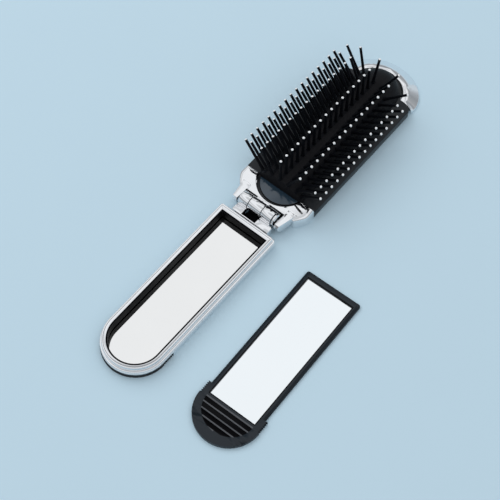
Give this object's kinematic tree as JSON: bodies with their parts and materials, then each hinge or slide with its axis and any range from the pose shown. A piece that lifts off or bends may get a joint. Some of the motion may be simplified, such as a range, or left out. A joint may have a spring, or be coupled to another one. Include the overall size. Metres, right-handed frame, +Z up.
{
  "type": "folding pocket hairbrush with mirror tray",
  "caption": "Folding pocket hairbrush lying open, with a hinged chrome head, a pad of ball-tipped pins and a slide-out mirror tray under the handle; a spare tray lies beside it.",
  "frame": {"origin": "middle of the hinge leaf's flat underside, where the handle meets the hinge", "axes": "+Z up with the brush lying on its back, +Y along the brush from the handle to the head, +X across it"},
  "size_m": [0.0797, 0.1815, 0.0252],
  "materials": {
    "handle_shell": "bright chrome plating over moulded plastic",
    "recess_liner": "glossy black",
    "hinge_leaf": "bright chrome plating over moulded plastic",
    "hinge_cap": "bright chrome plating over moulded plastic",
    "hinge_pin": "plain steel wire",
    "tray_frame": "satin black",
    "tray_mirror": "silvered on both faces",
    "spare_tray_frame": "satin black",
    "spare_tray_mirror": "silvered on both faces",
    "head_shell": "bright chrome plating over moulded plastic",
    "pad_base": "glossy black",
    "rubber_pad": "soft black rubber",
    "pin_row_1": "black nylon with white ball tips",
    "pin_row_2": "black nylon with white ball tips",
    "pin_row_3": "black nylon with white ball tips",
    "pin_row_4": "black nylon with white ball tips",
    "pin_row_5": "black nylon with white ball tips",
    "pin_row_6": "black nylon with white ball tips",
    "pin_row_7": "black nylon with white ball tips"
  },
  "bodies": {
    "handle": {"handle_shell": "handle_shell", "recess_liner": "recess_liner", "hinge_leaf": "hinge_leaf", "hinge_pin": "hinge_pin", "hinge_cap": "hinge_cap"},
    "tray": {"tray_frame": "tray_frame", "tray_mirror": "tray_mirror"},
    "head": {"head_shell": "head_shell", "pad_base": "pad_base", "rubber_pad": "rubber_pad", "pin_row_1": "pin_row_1", "pin_row_2": "pin_row_2", "pin_row_3": "pin_row_3", "pin_row_4": "pin_row_4", "pin_row_5": "pin_row_5", "pin_row_6": "pin_row_6", "pin_row_7": "pin_row_7"},
    "spare_tray": {"spare_tray_frame": "spare_tray_frame", "spare_tray_mirror": "spare_tray_mirror"}
  },
  "joints": [
    {"name": "head_fold", "type": "hinge", "parent": "handle", "child": "head", "pos_m": [0, 0.0049, 0.0054], "axis": [1, 0, 0], "range_deg": [0, 112]},
    {"name": "tray_slide", "type": "slide", "parent": "handle", "child": "tray", "axis": [0, -1, 0], "range_m": [0, 0.082]},
    {"name": "spare_tray_lift", "type": "slide", "parent": "handle", "child": "spare_tray", "axis": [0, 0, 1], "range_m": [0, 0.06]}
  ]
}
